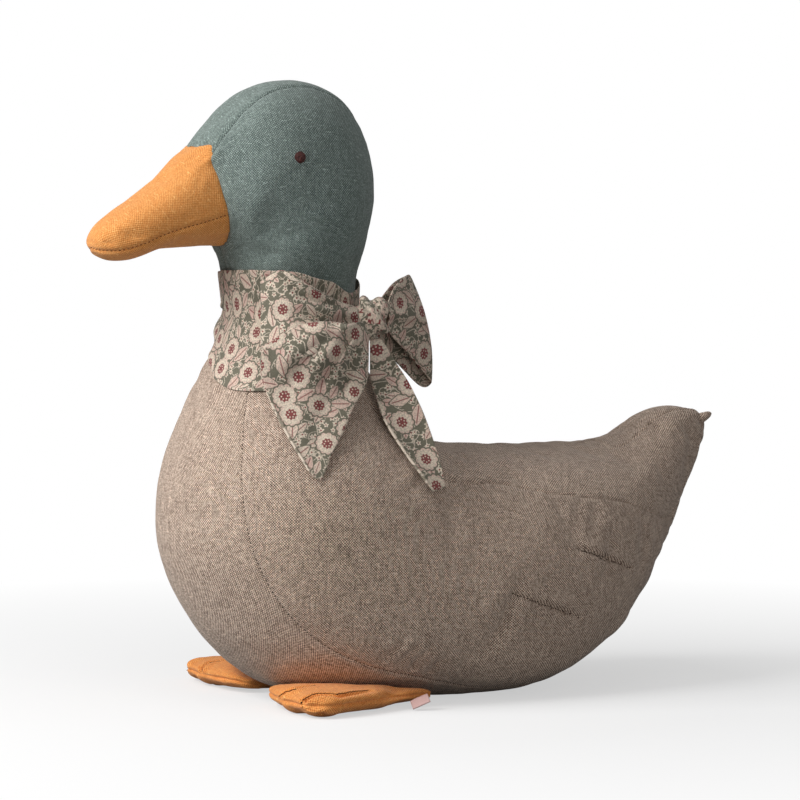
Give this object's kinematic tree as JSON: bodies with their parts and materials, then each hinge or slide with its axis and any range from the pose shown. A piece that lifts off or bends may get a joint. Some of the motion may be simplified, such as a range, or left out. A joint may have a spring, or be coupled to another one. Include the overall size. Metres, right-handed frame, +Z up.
{
  "type": "plush duck",
  "caption": "Stuffed linen toy duck sitting on its flattened belly, with flat padded feet, a long beak and a printed scarf tied at the neck in a bow.",
  "frame": {"origin": "middle of the flattened belly patch, on the surface the duck sits on", "axes": "-Y the way the duck faces, +X its left side, +Z up"},
  "size_m": [0.186, 0.3856, 0.347],
  "materials": {
    "body_linen": "coarse plain-woven linen, taupe",
    "head_linen": "plain-woven linen, grey teal",
    "beak_linen": "plain-woven linen, ochre",
    "foot_linen": "plain-woven linen, dark ochre",
    "fibre_filling": "loose polyester fibre, white",
    "eye_thread": "embroidery thread, dark brown",
    "label_ribbon": "folded satin ribbon, blank, pale pink",
    "scarf_cotton": "fine cotton with a small flower print on sage"
  },
  "bodies": {
    "duck": {"chest_belly_gusset": "body_linen", "left_side_panel": "body_linen", "right_side_panel": "body_linen", "left_back_panel": "body_linen", "right_back_panel": "body_linen", "tail_gusset": "body_linen", "body_filling": "fibre_filling", "head_gusset": "head_linen", "left_head_panel": "head_linen", "right_head_panel": "head_linen", "head_filling": "fibre_filling", "left_eye": "eye_thread", "right_eye": "eye_thread", "upper_beak_panel": "beak_linen", "lower_beak_panel": "beak_linen", "beak_filling": "fibre_filling", "neckband": "scarf_cotton", "bow_knot": "scarf_cotton", "front_loop": "scarf_cotton", "rear_loop": "scarf_cotton"},
    "left_foot": {"left_foot_top": "foot_linen", "left_foot_sole": "foot_linen", "left_foot_filling": "fibre_filling", "foot_label": "label_ribbon"},
    "right_foot": {"right_foot_top": "foot_linen", "right_foot_sole": "foot_linen", "right_foot_filling": "fibre_filling"},
    "front_tail": {"front_tail": "scarf_cotton"},
    "rear_tail": {"rear_tail": "scarf_cotton"}
  },
  "joints": [
    {"name": "left_foot_flop", "type": "hinge", "parent": "duck", "child": "left_foot", "pos_m": [0.06, -0.018, 0.0085], "axis": [1, 0, 0], "range_deg": [0, 50]},
    {"name": "right_foot_flop", "type": "hinge", "parent": "duck", "child": "right_foot", "pos_m": [-0.06, -0.018, 0.0085], "axis": [1, 0, 0], "range_deg": [0, 50]},
    {"name": "front_tail_lift", "type": "hinge", "parent": "duck", "child": "front_tail", "pos_m": [0.05819, -0.05769, 0.218], "axis": [-0.4226, -0.9063, 0], "range_deg": [0, 70]},
    {"name": "rear_tail_lift", "type": "hinge", "parent": "duck", "child": "rear_tail", "pos_m": [0.0485, -0.04297, 0.204], "axis": [-0.4226, -0.9063, 0], "range_deg": [0, 70]}
  ]
}
